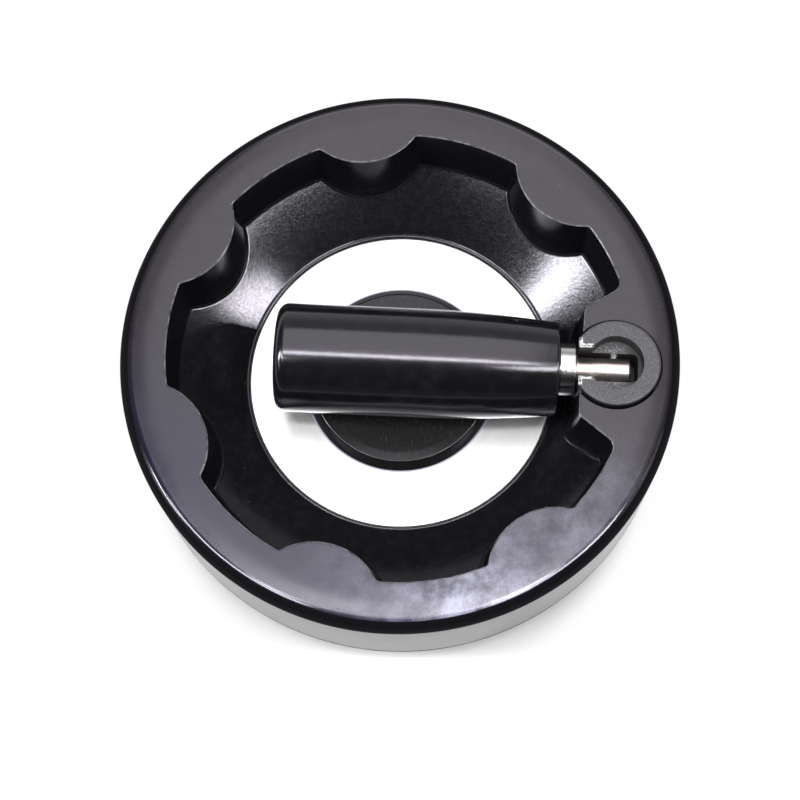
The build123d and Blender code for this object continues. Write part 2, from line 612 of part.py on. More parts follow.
def retaining_ring():
    """Open ring in the sleeve's groove that keeps the grip on."""
    outer = SLEEVE_RADIUS + RETAINING_RING_STEP
    bottom = RING_SEAT + SEAT_GAP / 2
    ring = tube(outer, RING_GROOVE_RADIUS + FIT_CLEARANCE, bottom,
                bottom + RETAINING_RING_THICKNESS)
    half = radians(RETAINING_RING_GAP / 2)
    across = 2 * outer * cos(half)
    along = 2 * outer * sin(half)
    mouth = make_face(Polyline((0, 0), (across, -along), (across, along), close=True))
    return on_stem(ring - Pos(0, 0, bottom) * extrude(mouth, RETAINING_RING_THICKNESS))


def grip_end_plug():
    """Cup-shaped plug that closes the grip's free end."""
    top = GRIP_END - PLUG_RECESS
    bottom = top - PLUG_LENGTH
    outer = GRIP_BACK_BORE_RADIUS - FIT_CLEARANCE
    inner = outer - PLUG_WALL
    ceiling = top - PLUG_WALL
    return on_stem(revolved((0, ceiling), (inner, ceiling), (inner, bottom), (outer, bottom),
                            (outer, top), (0, top)))


PARTS = (
    wheel_body, hub_core, hub_set_screw, centre_cap, handle_socket, hinge_pin, socket_screw,
    socket_washer, stem, spring_washer, stem_screw, return_spring, locking_sleeve,
    retaining_ring, grip, grip_washer, grip_end_plug,
)

os.makedirs("parts", exist_ok=True)
for part in PARTS:
    export_step(part(), f"parts/{part.__name__}.step")
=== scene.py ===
from math import atan2, cos, pi, radians, sin, sqrt, tan
from types import SimpleNamespace

import bpy
import numpy as np
from bpy.props import FloatProperty, FloatVectorProperty, IntProperty, PointerProperty
from mathutils import Matrix, Quaternion, Vector


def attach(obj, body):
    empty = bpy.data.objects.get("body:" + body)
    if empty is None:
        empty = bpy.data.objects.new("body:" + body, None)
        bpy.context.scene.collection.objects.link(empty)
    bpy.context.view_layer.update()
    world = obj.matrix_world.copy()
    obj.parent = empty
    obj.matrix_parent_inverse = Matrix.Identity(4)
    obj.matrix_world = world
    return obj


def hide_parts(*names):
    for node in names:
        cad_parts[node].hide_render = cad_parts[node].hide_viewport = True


bl_info = {
    "name": "Machine Handwheel",
    "version": (1, 0, 0),
    "blender": (4, 5, 0),
    "location": "3D View > Sidebar > Handwheel",
    "description": "Moulded handwheel with a finger wave, a turned hub and a fold-away grip",
    "category": "Object",
}

MM = 0.001
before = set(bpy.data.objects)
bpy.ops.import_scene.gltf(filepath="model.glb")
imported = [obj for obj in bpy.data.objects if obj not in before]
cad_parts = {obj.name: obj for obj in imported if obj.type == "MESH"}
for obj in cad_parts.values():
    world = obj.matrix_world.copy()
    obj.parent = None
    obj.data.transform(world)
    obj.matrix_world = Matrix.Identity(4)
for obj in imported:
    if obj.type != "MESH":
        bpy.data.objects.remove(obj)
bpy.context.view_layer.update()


# ---- properties
def length(name, description, millimetres):
    """A length in metres, given in millimetres."""
    return FloatProperty(name=name, description=description, default=millimetres * MM,
                         unit="LENGTH", precision=5)


def turn(name, description, degrees):
    """An angle in radians, given in degrees."""
    return FloatProperty(name=name, description=description, default=radians(degrees),
                         subtype="ANGLE")


def amount(name, description, value):
    """A share from nought to one."""
    return FloatProperty(name=name, description=description, default=value, min=0.0, max=1.0,
                         subtype="FACTOR")


def colour(name, description, *rgb):
    """A linear colour."""
    return FloatVectorProperty(name=name, description=description, default=rgb, size=3,
                               min=0.0, max=1.0, subtype="COLOR")


class WheelSizes(bpy.types.PropertyGroup):
    """Sizes of the wheel's moulding."""
    rim_radius: length("Rim radius", "Outside of the rim", 62.75)
    face_height: length("Face height", "Rim face above the hub's back face", 44.0)
    rim_back: length("Rim back", "Back edge of the rim above the hub's back face", 12.0)
    face_round: length("Face round", "Round between the rim's face and its outside", 3.0)
    crown_width: length("Crown width", "Outer part of the rim face that falls away", 5.5)
    crown_round: length("Crown round", "Bend where the rim face starts to fall", 34.0)
    crown_fall: turn("Crown fall", "Slope of the rim face at its outside", 8.0)
    back_round: length("Back round", "Round at the rim's back edge", 2.0)
    pocket_radius: length("Pocket radius", "Inside of the rim between two lobes", 52.15)
    crest_radius: length("Crest radius", "Inside of the rim at a lobe's crest", 46.05)
    lobe_radius: length("Lobe radius", "Round of one lobe of the finger wave", 15.2)
    lobe_count: IntProperty(name="Lobes", description="Lobes with the handle's own", default=7)
    wave_turn: turn("Wave turn", "How the wave stands to the handle's line", -1.8)
    wall_draft: turn("Wall draft", "Lean of the wave's wall", 5.5)
    wall_depth: length("Wall depth", "Rim face to the dish at the pocket's wall", 13.6)
    corner_round: length("Corner round", "Round between a pocket and a lobe", 1.2)
    edge_round: length("Edge round", "Round along the wave's top edge", 0.4)
    foot_round: length("Foot round", "Round between the wave's wall and the dish", 1.0)
    dish_inner: length("Dish inner radius", "Where the dish meets the lip", 36.2)
    dish_low: length("Dish low", "Height of the dish at the lip", 22.1)
    dish_bend: length("Dish bend", "Bulge of the dish above a straight cone", 0.2)


class HandleSizes(bpy.types.PropertyGroup):
    """Sizes of the handle and its socket."""
    socket_x: length("Socket place", "Socket's axis along X", 48.15)
    socket_y: length("Socket side", "Handle's line beside the wheel's axis", -1.0)
    pin_height: length("Pin height", "Hinge pin above the hub's back face", 38.3)
    socket_radius: length("Socket radius", "Round block of the socket", 9.9)
    socket_gap: length("Socket gap", "Between the socket and its hole", 0.5)
    socket_flat: length("Socket flat", "Socket's flat from its axis", 8.25)
    lobe_setback: length("Lobe setback", "Lobe's flat behind the socket's flat", 0.7)
    lobe_wall: length("Lobe wall", "Moulding beside the socket's hole", 2.05)
    lobe_side: length("Lobe side", "Lobe's middle beside the socket's axis", 0.3)
    lobe_flank: turn("Lobe flank", "Lobe's flank from the radius", 35.5)
    lobe_round: length("Lobe round", "Round between the lobe's flat and flank", 2.0)
    lobe_foot_round: length("Lobe foot round", "Round between the flank and the pocket", 2.4)
    grip_start: length("Grip start", "Pin to the grip's pivot end", 12.65)
    grip_end: length("Grip end", "Pin to the grip's free end", 75.75)
    grip_pivot_radius: length("Grip pivot radius", "Grip at its pivot end", 10.45)
    grip_free_radius: length("Grip free radius", "Grip at its free end", 12.3)
    grip_swell: length("Grip swell", "Length over which the grip swells", 31.5)
    collar_start: length("Collar start", "Pin to the collar's face", 8.65)
    collar_end: length("Collar end", "Pin to the collar's back", 12.35)
    collar_radius: length("Collar radius", "Outside of the collar", 5.95)


class Finishes(bpy.types.PropertyGroup):
    """Colours of the finishes."""
    moulding: colour("Moulding", "Glossy black moulding", 0.006, 0.006, 0.0075)
    ground_face: colour("Ground face", "Satin ground face of the rim", 0.015, 0.0125, 0.0155)
    # Painted sheen: pale colour standing in for the strip lamp's reflection on the rim face.
    painted_sheen: colour("Haze", "Polishing haze on the rim face", 0.33, 0.33, 0.43)
    # Painted highlight: pale colour along the wave's top edge in place of its reflection.
    painted_edge_highlight: colour("Rubbed edge", "Top edge of the finger wave", 0.26, 0.255, 0.265)
    rim_side: colour("Rim side", "Satin outside of the rim", 0.055, 0.054, 0.062)
    cap: colour("Cap", "Moulded cap in the hub", 0.016, 0.0155, 0.016)
    # Painted reflection: pale lavender ring where the cap's edge reflects the white hub.
    painted_cap_edge_reflection: colour("Cap foot", "Pale edge where the cap meets the hub", 0.42, 0.42, 0.52)
    hub: colour("Hub", "Turned steel of the hub", 0.93, 0.935, 0.94)
    socket: colour("Socket", "Blackened steel of the handle's socket", 0.076, 0.072, 0.082)
    bare_steel: colour("Bare steel", "Burnished edges of the socket", 0.80, 0.79, 0.78)
    stem: colour("Stem", "Ground steel of the stem", 0.86, 0.76, 0.74)
    collar: colour("Collar", "Polished collar", 0.86, 0.87, 0.88)
    grip: colour("Grip", "Glossy moulding of the grip", 0.006, 0.006, 0.0075)
    screw: colour("Screw", "Oiled dark steel of the screws", 0.09, 0.09, 0.095)
    zinc: colour("Zinc", "Zinc-plated washers", 0.62, 0.63, 0.66)
    floor: colour("Floor", "Pale floor", 0.86, 0.86, 0.865)
    gloss: amount("Gloss roughness", "Roughness of the glossy mouldings", 0.16)
    satin: amount("Satin roughness", "Roughness of the ground rim face", 0.34)


def sizes_of(group):
    """A group's values by name: lengths in millimetres, angles in radians."""
    values = {key: getattr(group, key) for key in group.__annotations__}
    for key in values:
        if group.bl_rna.properties[key].unit == "LENGTH":
            values[key] /= MM
    return SimpleNamespace(**values)


# ---- meshes
# Shapes are worked out in millimetres; new_piece turns them into metres.
SHARP = radians(32.0)                   # an edge that turns by more than this stays crisp


def faces_of_grid(rows, columns, closed_rows, closed_columns):
    """Quads between the points of a grid; a closed direction joins its last line to its first."""
    i = np.arange(rows if closed_rows else rows - 1)[:, None]
    j = np.arange(columns if closed_columns else columns - 1)[None, :]
    i2, j2 = (i + 1) % rows, (j + 1) % columns
    corners = (i * columns + j, i2 * columns + j, i2 * columns + j2, i * columns + j2)
    return np.stack(np.broadcast_arrays(*corners), axis=-1).reshape(-1, 4)


def outward(points, faces):
    """Turns every quad round if the shell's volume, summed over its corners, is negative."""
    a, b, c, d = (points[faces[:, k]] for k in range(4))
    volume = np.einsum("ij,ij->i", a, np.cross(b, c) + np.cross(c, d)).sum()
    return faces if volume > 0 else faces[:, ::-1]


def in_scene(name, data):
    """A new object for a mesh, a lamp or a camera, put in the scene."""
    made = bpy.data.objects.new(name, data)
    bpy.context.scene.collection.objects.link(made)
    return made


def smooth(mesh):
    """Shades a mesh smooth but for its sharp edges."""
    mesh.shade_smooth()
    mesh.set_sharp_from_angle(angle=SHARP)


def new_piece(name, points, faces):
    """A mesh object at the origin from points in millimetres and quads that wind either way; a
    quad that names a corner twice becomes a triangle."""
    faces = [list(dict.fromkeys(face)) for face in outward(points, faces).tolist()]
    mesh = bpy.data.meshes.new(name)
    mesh.from_pydata((points * MM).tolist(), [], faces)
    mesh.validate()
    smooth(mesh)
    return in_scene(name, mesh)


def polar(radius, angle):
    """Points at a radius and an angle about an axis."""
    return np.stack(np.broadcast_arrays(radius * np.cos(angle), radius * np.sin(angle)), axis=-1)


def swept(share, span, first, last):
    """An arc about nought between two vectors a span apart: their sum, weighted by
    sin((1 - share) span) / sin(span) and sin(share span) / sin(span)."""
    return (np.sin((1 - share) * span) * first + np.sin(share * span) * last) / np.sin(span)


def rounded_line(corners, steps=7, guard=0.06):
    """A line through (radius, height) or (radius, height, round) corners: each round is an arc
    tangent to both runs, with one more point a guard's length before and after each corner to
    keep the runs flat."""
    places = [np.array(corner[:2], float) for corner in corners]
    share = np.linspace(0, 1, steps + 1)[:, None]
    line = []
    for k, here in enumerate(places):
        runs = [places[n] - here for n in (k - 1, k + 1) if 0 <= n < len(places)]
        runs = [run / np.linalg.norm(run) for run in runs]
        bend, reach = [here], 0
        if len(corners[k]) > 2:
            u, v = runs
            half = np.arccos(np.clip(u @ v, -1, 1)) / 2
            reach = corners[k][2] / tan(half)
            centre = here + (u + v) / np.linalg.norm(u + v) * corners[k][2] / sin(half)
            bend = centre + swept(share, pi - 2 * half, here + u * reach - centre,
                                  here + v * reach - centre)
        guards = [here + run * (reach + guard) for run in runs]
        before = min(k, 1)
        line += [*guards[:before], *bend, *guards[before:]]
    return np.array(line)


def lathed(name, line, place, segments=192, closed=False):
    """A surface of revolution: each (radius, distance) of the line turns round the axis of
    place, a (3, 4) matrix whose last column is its foot. A line that starts and ends on the
    axis closes on two poles; otherwise it closes on itself."""
    angle = np.linspace(0, 2 * pi, segments, endpoint=False)
    body = line if closed else line[1:-1]
    grid = np.dstack([polar(body[:, :1], angle[None]),
                      np.broadcast_to(body[:, 1:], (len(body), segments))])
    points = grid.reshape(-1, 3)
    faces = faces_of_grid(len(body), segments, closed, True)
    if not closed:
        pole = len(points)
        points = np.vstack([points, [0, 0, line[0, 1]], [0, 0, line[-1, 1]]])
        k = np.arange(segments)
        k2, base = (k + 1) % segments, pole - segments
        first, last = np.full(segments, pole), np.full(segments, pole + 1)
        faces = np.vstack([faces, np.stack([k, k2, first, first], axis=1),
                           np.stack([base + k2, base + k, last, last], axis=1)])
    return new_piece(name, points @ place[:, :3].T + place[:, 3], faces)


def along_wheel(x=0.0, y=0.0):
    """Place of a lathed piece whose axis is parallel to the wheel's."""
    return np.array([[1, 0, 0, x], [0, 1, 0, y], [0, 0, 1, 0]], float)


def along_stem(sizes):
    """Place of a lathed piece on the folded stem: distances run from the pin towards -X."""
    x, y, z = sizes.socket_x, sizes.socket_y, sizes.pin_height
    return np.array([[0, 0, -1, x], [0, 1, 0, y], [1, 0, 0, z]], float)


def combine(piece, tools):
    """Joins or cuts the piece with each (solid, operation), then removes those solids."""
    for tool, operation in tools:
        modifier = piece.modifiers.new(operation.lower(), "BOOLEAN")
        modifier.operation = operation
        modifier.object = tool
        modifier.solver = "EXACT"
    graph = bpy.context.evaluated_depsgraph_get()
    mesh = bpy.data.meshes.new_from_object(piece.evaluated_get(graph))
    piece.modifiers.clear()
    old, piece.data = piece.data, mesh
    bpy.data.meshes.remove(old)
    for tool, _ in tools:
        bpy.data.objects.remove(tool)
    smooth(mesh)


def settle(piece, material, body, slot, *nodes):
    """Gives a piece its material and puts it on its body in place of its CAD nodes."""
    piece.data.materials.append(material)
    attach(piece, body)
    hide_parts(*nodes)


# ---- wheel
def arc(centre, radius, start, end, count, side=1):
    """Points of an arc and its directions, outward or with side -1 inward; its last point is
    left to the next piece."""
    direction = polar(1.0, np.linspace(start, end, count, endpoint=False))
    return centre + radius * direction, side * direction


def between(start, end, count, normal):
    """Points of a straight run, its last point left to the next piece."""
    share = np.linspace(0, 1, count, endpoint=False)[:, None]
    return start + share * (end - start), np.repeat(normal[None], count, axis=0)


def bearing(vector):
    """Angle of a vector about the wheel's axis."""
    return atan2(vector[1], vector[0])


def nearest_turn(angle, other):
    """The same angle, whole turns away, that lies within half a turn of another."""
    return angle + round((other - angle) / (2 * pi)) * 2 * pi


def turned_by(angle):
    """Matrix that turns a row of (x, y) about the wheel's axis."""
    return np.array([[cos(angle), sin(angle)], [-sin(angle), cos(angle)]])


def wave_outline(wheel, handle, offset):
    """Closed outline of the finger wave and its directions into the hollow. Pockets are arcs
    about the wheel's axis, lobes are circles that stand into them, and every corner between
    them is an arc tangent to both; offset moves the walls into the hollow."""
    pocket, lobe_radius = wheel.pocket_radius - offset, wheel.lobe_radius + offset
    corner = wheel.corner_round
    distance = wheel.crest_radius + wheel.lobe_radius
    inner = pocket - corner
    lean = np.arccos((inner ** 2 + distance ** 2 - (lobe_radius + corner) ** 2)
                     / (2 * inner * distance))
    # Points on the handle lobe's flat, flank, round and foot, and on a pocket, corner and lobe.
    on_flat, on_flank, on_round, on_foot, on_pocket, on_corner, on_lobe = 9, 7, 10, 12, 22, 8, 44

    # The handle's lobe, in the wave's own frame: a flat, two rounds, two flanks and their feet.
    x, y = np.array([handle.socket_x, handle.socket_y]) @ turned_by(-wheel.wave_turn)
    y += handle.lobe_side
    flat = x - handle.socket_flat + handle.lobe_setback
    width = handle.socket_radius + handle.socket_gap + handle.lobe_wall
    flank, size, blend = handle.lobe_flank, handle.lobe_round, handle.lobe_foot_round
    rise = width - size * (1 - sin(flank)) / cos(flank)
    middle_of_flat, left = np.array([flat - offset, y]), np.array([-1.0, 0.0])

    def handle_side(side):
        """Round's centre, flank's normal, its foot and the foot round's centre on one side."""
        centre = np.array([flat + size, y + side * rise])
        run = np.array([cos(flank), side * sin(flank)])
        normal = np.array([-sin(flank), side * cos(flank)])
        foot = centre + (size + offset) * normal
        start = foot + blend * normal
        along = -start @ run + sqrt((start @ run) ** 2 - start @ start + (pocket - blend) ** 2)
        return centre, normal, foot, start + along * run

    centre, normal, foot, middle = handle_side(1)
    here = bearing(middle)
    parts = [between(middle_of_flat, np.array([flat - offset, centre[1]]), on_flat, left),
             arc(centre, size + offset, pi, bearing(normal), on_round),
             between(foot, middle - blend * normal, on_flank, normal),
             arc(middle, blend, nearest_turn(bearing(-normal), here), here, on_foot, -1)]
    for index in range(1, wheel.lobe_count):
        lobe = 2 * pi * index / wheel.lobe_count
        near, far = lobe - lean, lobe + lean
        centre, first, second = polar(distance, lobe), polar(inner, near), polar(inner, far)
        begin, finish = bearing(first - centre) % (2 * pi), bearing(second - centre) % (2 * pi)
        if finish > begin:
            begin += 2 * pi
        to_lobe = nearest_turn(bearing(centre - first), near)
        from_lobe = nearest_turn(bearing(centre - second), far)
        parts += [arc(0.0, pocket, here, near, on_pocket, -1),
                  arc(first, corner, near, to_lobe, on_corner, -1),
                  arc(centre, lobe_radius, begin, finish, on_lobe),
                  arc(second, corner, from_lobe, far, on_corner, -1)]
        here = far
    centre, normal, foot, middle = handle_side(-1)
    end = bearing(middle) + 2 * pi
    parts += [arc(0.0, pocket, here, end, on_pocket, -1),
              arc(middle, blend, end, nearest_turn(bearing(-normal), end), on_foot, -1),
              between(middle - blend * normal, foot, on_flank, normal),
              arc(centre, size + offset, bearing(normal), -pi, on_round),
              between(np.array([flat - offset, centre[1]]), middle_of_flat, on_flat, left)]
    points, normals = (np.vstack(column) for column in zip(*parts))
    return points @ turned_by(wheel.wave_turn), normals @ turned_by(wheel.wave_turn)


def dish_height(wheel, radius):
    """Height of the dish: the circle through its inner edge, its bulging middle and a point
    1 mm beyond the foot of the pocket's wall."""
    base = wheel.pocket_radius - wheel.wall_depth * tan(wheel.wall_draft)
    inner, low = wheel.dish_inner, wheel.dish_low
    high = wheel.face_height - wheel.wall_depth
    beyond = base + 1.0
    x = np.array([inner, (inner + beyond) / 2, beyond])
    share = (x - inner) / (base - inner)
    z = low + share * (high - low) + 4 * wheel.dish_bend * share * (1 - share)
    cx, cz, k = np.linalg.solve(np.stack([2 * x, 2 * z, np.ones(3)], axis=1), x ** 2 + z ** 2)
    size = sqrt(k + cx ** 2 + cz ** 2)
    side = 1 if z[1] > cz else -1
    return cz + side * np.sqrt(np.maximum(size ** 2 - (radius - cx) ** 2, 0))


def wheel_moulding(wheel, handle):
    """The whole moulding as rings of sections. Round the wheel a section follows the wave's
    outline; along a section it runs from the hub's seat over the back and the rim to the
    face, down the wave's drafted wall, over the dish and back to the seat."""
    high, draft, rim = wheel.face_height, wheel.wall_draft, wheel.rim_radius
    offsets = np.linspace(0, 1.9, 20)      # past the wall's lean at its deepest
    levels = np.stack([wave_outline(wheel, handle, offset)[0] for offset in offsets])
    outline, normal = wave_outline(wheel, handle, 0.0)
    count = len(outline)
    angle = np.unwrap(np.arctan2(outline[:, 1], outline[:, 0]))
    sections = []

    def add(ring, level):
        """One more section: its places, and its height in one or for each place."""
        sections.append(np.dstack([ring[None], np.broadcast_to(level, (1, count))]))

    def add_round(line):
        """Sections of a line of (radius, height) that is the same all round."""
        for radius, level in line:
            add(polar(radius, angle), level)

    def outline_at(offset):
        """The outline moved in by an offset for each point, between the worked-out levels."""
        place = np.clip(offset / offsets[1], 0, len(offsets) - 1.001)
        low = place.astype(int)
        share = (place - low)[:, None]
        k = np.arange(count)
        return levels[low, k] * (1 - share) + levels[low + 1, k] * share

    def dish_under(ring):
        return dish_height(wheel, np.hypot(*ring.T))

    # Back: the hub's seat, the shroud, the hollow, the skirt and the rim.
    seat, shroud, shroud_foot, floor = 35.5, 19.0, 2.0, 11.1
    dish_thickness, skirt_thickness, skirt_lean = 6.5, 9.0, radians(8.0)
    crown = rim - wheel.crown_width
    brow = high - wheel.crown_width * tan(wheel.crown_fall)
    dish_back = high - wheel.wall_depth - dish_thickness
    skirt = rim - skirt_thickness
    skirt_top = skirt - (dish_back - wheel.rim_back) * tan(skirt_lean)
    back = rounded_line([
        (seat, 16.6), (shroud, 16.6), (shroud, shroud_foot), (23.0, shroud_foot, 1.0),
        (24.0, floor, 2.5), (seat, floor, 2.5), (wheel.crest_radius, dish_back - 1.0, 2.5),
        (skirt_top, dish_back, 2.5), (skirt, wheel.rim_back, 1.0),
        (rim, wheel.rim_back, wheel.back_round), (rim, brow, wheel.face_round),
        (crown, high, wheel.crown_round), (crown - 3.0, high),
    ])
    add_round(back[:-2])

    # Face, from the outer round to the wave's rounded top edge.
    edge = wheel.edge_round
    reach = edge / tan((pi / 2 + draft) / 2)
    outer = polar(back[-3][0], angle)
    inner = outline - normal * reach
    for share in (0.25, 0.6, 0.97, 1.0):
        add(outer + (inner - outer) * share, high)
    for turned in np.linspace(0, pi / 2 - draft, 7)[1:]:
        add(outline + normal * (-reach + edge * sin(turned)), high - edge + edge * cos(turned))

    # Wall, down to where it meets the dish, found by going back and forth between the two,
    # and the round at its foot.
    drop = np.full(count, wheel.wall_depth)
    for _ in range(12):
        drop = high - dish_under(outline_at(drop * tan(draft)))
    foot = outline_at(drop * tan(draft))
    ahead = 0.2
    slope = (dish_under(foot + normal * ahead) - dish_under(foot)) / ahead
    up = np.array([-sin(draft), cos(draft)])[None]
    down = np.stack([np.ones(count), slope], axis=1) / np.hypot(1, slope)[:, None]
    half = np.arccos(np.clip((up * down).sum(1), -1, 1))[:, None] / 2
    length_ = wheel.foot_round / np.tan(half)
    centre = (up + down) / np.linalg.norm(up + down, axis=1)[:, None]
    centre = centre * wheel.foot_round / np.sin(half)
    top, bottom = reach * cos(draft), drop - length_[:, 0] * cos(draft)
    for share in (0.01, *np.linspace(0, 1, 7)[1:-1], 0.99):
        fall = top + (bottom - top) * share
        add(outline_at(fall * tan(draft)), high - fall)
    for share in np.linspace(0, 1, 8):
        swing = centre + swept(share, pi - 2 * half, up * length_ - centre,
                               down * length_ - centre)
        ring, level = foot + normal * swing[:, :1], high - drop + swing[:, 1]
        add(ring, level)

    # Dish, from the wave's foot, whose lift fades out, to the bead of the lip and the seat.
    lift = level - dish_under(ring)
    start_angle = np.unwrap(np.arctan2(ring[:, 1], ring[:, 0]))
    start_radius, end_radius = np.hypot(*ring.T), wheel.dish_inner + 0.12
    for share in (0.006, *np.linspace(0, 1, 22)[1:-1], 0.995, 1.0):
        radius = start_radius + (end_radius - start_radius) * share
        add(polar(radius, start_angle + (angle - start_angle) * share),
            dish_height(wheel, radius) + lift * (1 - share) ** 4)
    swing = np.radians(np.linspace(-30, 42, 7))
    bead_radius = 0.5
    bead = np.array([35.86, -0.43]) + bead_radius * polar(1.0, swing)[:, ::-1] * [-1, 1]
    add_round(np.vstack([bead, [35.51, -0.2], [35.505, -0.5]]) + [0, wheel.dish_low])
    add_round([(seat, 19.0)])
    grid = np.concatenate(sections)
    piece = new_piece("wheel_moulding", grid.reshape(-1, 3),
                      faces_of_grid(len(grid), count, True, True))

    # The screw's boss behind the socket, the socket's stepped hole and the set screw's hole,
    # each a (radius, distance) line from axis to axis.
    place = along_wheel(handle.socket_x, handle.socket_y)
    across = np.array([[1, 0, 0, 0], [0, 0, -1, 0], [0, 1, 0, 6.5]], float)
    hole = handle.socket_radius + handle.socket_gap
    boss = [(0, 12), (8.2, 12), (8.4, 12.2), (8.4, 24.6), (0, 24.6)]
    steps = [(0, 10), (5.2, 10), (5.2, 19.314), (2.7, 19.314), (2.7, 22.814), (5.1, 22.814),
             (5.1, 30.814), (hole, 30.814), (hole, 46), (0, 46)]
    screw = [(0, 18.4), (3.5, 18.4), (3.5, 27), (0, 27)]
    combine(piece, [
        (lathed("boss", np.array(boss), place, 96), "UNION"),
        (lathed("socket_hole", np.array(steps), place, 128), "DIFFERENCE"),
        (lathed("screw_hole", np.array(screw), across, 64), "DIFFERENCE")])
    return piece


class OBJECT_OT_wheel_moulding(bpy.types.Operator):
    """Make the moulded rim with its finger wave, the dish and the shroud round the hub"""
    bl_idname = "handwheel.wheel_moulding"
    bl_label = "Wheel Moulding"

    def execute(self, context):
        scene = context.scene
        piece = wheel_moulding(sizes_of(scene.wheel_sizes), sizes_of(scene.handle_sizes))
        settle(piece, moulding_finish(scene), "wheel", "wheel_moulding", "wheel_body")
        return {"FINISHED"}


# ---- hub and cap
def cap_line():
    """Half section of the centre cap: its three bevels over the hub's face, and its neck."""
    top, hub_face, neck = 23.2, 21.6, 15.98
    line = rounded_line([
        (neck, hub_face), (22.4, hub_face), (22.4, 21.72, 0.06), (22.08, 21.74, 0.04),
        (20.4, 23.8, 0.6), (18.2, 23.76, 9.0), (12.1, 23.32, 0.05), (11.9, top, 0.05),
        (0.02, top)], steps=5, guard=0.03)
    under = [(neck, 18.0), (14.45, 18.0), (14.45, 22.0), (0.0, 22.0)]
    return np.vstack([[0.0, top], line[::-1], under])


class OBJECT_OT_hub_and_cap(bpy.types.Operator):
    """Make the bevelled centre cap and finish the turned hub and its set screw"""
    bl_idname = "handwheel.hub_and_cap"
    bl_label = "Hub and Centre Cap"

    def execute(self, context):
        scene = context.scene
        cap = lathed("centre_cap", cap_line(), along_wheel(), 256)
        settle(cap, cap_finish(scene), "wheel", "cap_moulding", "centre_cap")
        give(scene, hub_core=hub_finish, hub_set_screw=screw_finish)
        return {"FINISHED"}


# ---- handle
def grip_line(sizes):
    """Half section of the grip: a circle's arc tangent to the straight free half, which swells
    from the pivot end, round ends, and the two bores inside."""
    start, end, large = sizes.grip_start, sizes.grip_end, sizes.grip_free_radius
    joint = start + sizes.grip_swell
    fall = large - sizes.grip_pivot_radius
    bend = (sizes.grip_swell ** 2 + fall ** 2) / (2 * fall)

    def outside(s):
        return large - (bend - np.sqrt(bend ** 2 - np.clip(joint - s, 0, None) ** 2))

    def corner(size, count):
        """The two legs of a round, 1 - sin and 1 - cos of its turn, times its size."""
        turned = np.linspace(0, pi / 2, count)
        return size * (1 - np.sin(turned)), size * (1 - np.cos(turned))

    small_round, large_round, chamfer = 0.6, 2.5, 0.3
    plug_bore, sleeve_bore, shoulder = 7.0, 5.25, 48.45
    swell = np.linspace(start + small_round, joint, 26)
    inward, onward = corner(small_round, 8)
    pivot = np.stack([outside(start + small_round) - inward, start + onward], axis=1)
    straight = np.linspace(joint, end - large_round, 7)[1:]
    onward, inward = corner(large_round, 17)
    free = np.stack([large - inward, end - onward], axis=1)
    bores = [(plug_bore + 0.4, end), (plug_bore + 0.15, end - 0.08), (plug_bore, end - chamfer),
             (plug_bore, shoulder), (sleeve_bore, shoulder), (sleeve_bore, start + chamfer),
             (5.5, start)]
    return np.vstack([pivot, np.stack([outside(swell), swell], axis=1)[1:],
                      np.stack([np.full(6, large), straight], axis=1), free[1:], bores])


def plug_line(end):
    """Half section of the grip's plug: a dished end 0.4 mm inside the grip's end, and a skirt
    in its bore."""
    face, dished, foot, seat = end - 0.4, end - 1.2, end - 6.4, end - 2.6
    skirt, inside = 6.98, 5.4
    line = rounded_line([
        (0.02, dished), (inside, dished, 0.6), (5.9, face, 0.25), (skirt, face, 0.2),
        (skirt, foot), (inside, foot), (inside, seat), (0.02, seat)], steps=5)
    return np.vstack([[0, dished], line, [0, seat]])


def collar_line(sizes):
    """Half section of the collar and the tube behind it, with the tube's groove and bores."""
    near, far, out = sizes.collar_start, sizes.collar_end, sizes.collar_radius
    bore, tube, groove, spring_bore, spring_seat = 3.05, 5.2, 4.75, 4.2, 19.85
    return rounded_line([
        (bore, near + 2), (bore, near, 0.2), (out, near, 0.35), (out, far, 0.25),
        (tube, far, 0.15), (tube, 49.35), (groove, 49.35), (groove, 50.45), (tube, 50.45),
        (tube, 52.35), (spring_bore, 52.35), (spring_bore, spring_seat), (bore, spring_seat),
        (bore, near + 2.2)], steps=6, guard=0.04)


class OBJECT_OT_handle(bpy.types.Operator):
    """Make the swelling grip, its end plug and the polished collar, and finish the stem"""
    bl_idname = "handwheel.handle"
    bl_label = "Handle"

    def execute(self, context):
        scene = context.scene
        sizes = sizes_of(scene.handle_sizes)
        place = along_stem(sizes)
        grip = lathed("grip_moulding", grip_line(sizes), place, 256, closed=True)
        settle(grip, grip_finish(scene), "grip", "grip_moulding", "grip")
        plug = lathed("grip_end_plug", plug_line(sizes.grip_end), place, 128)
        settle(plug, grip_finish(scene), "grip", "grip_moulding", "grip_end_plug")
        collar = lathed("polished_collar", collar_line(sizes), place, closed=True)
        settle(collar, collar_finish(scene), "sleeve", "polished_collar", "locking_sleeve")
        give(scene, stem=stem_finish, hinge_pin=pin_finish, return_spring=spring_finish,
             retaining_ring=screw_finish, grip_washer=zinc_finish, spring_washer=zinc_finish,
             stem_screw=zinc_finish)
        return {"FINISHED"}


class OBJECT_OT_socket(bpy.types.Operator):
    """Finish the blackened socket block with its screw and washer"""
    bl_idname = "handwheel.socket"
    bl_label = "Handle Socket"

    def execute(self, context):
        give(context.scene, handle_socket=socket_finish, socket_screw=screw_finish,
             socket_washer=zinc_finish)
        return {"FINISHED"}


# ---- shader maths
def maths(operation, swapped=False):
    """A method that puts a value and any others through a Math node."""
    def method(self, *others):
        values = (*others, self) if swapped else (self, *others)
        return self.nodes.number("ShaderNodeMath", dict(enumerate(values)), operation=operation)
    return method


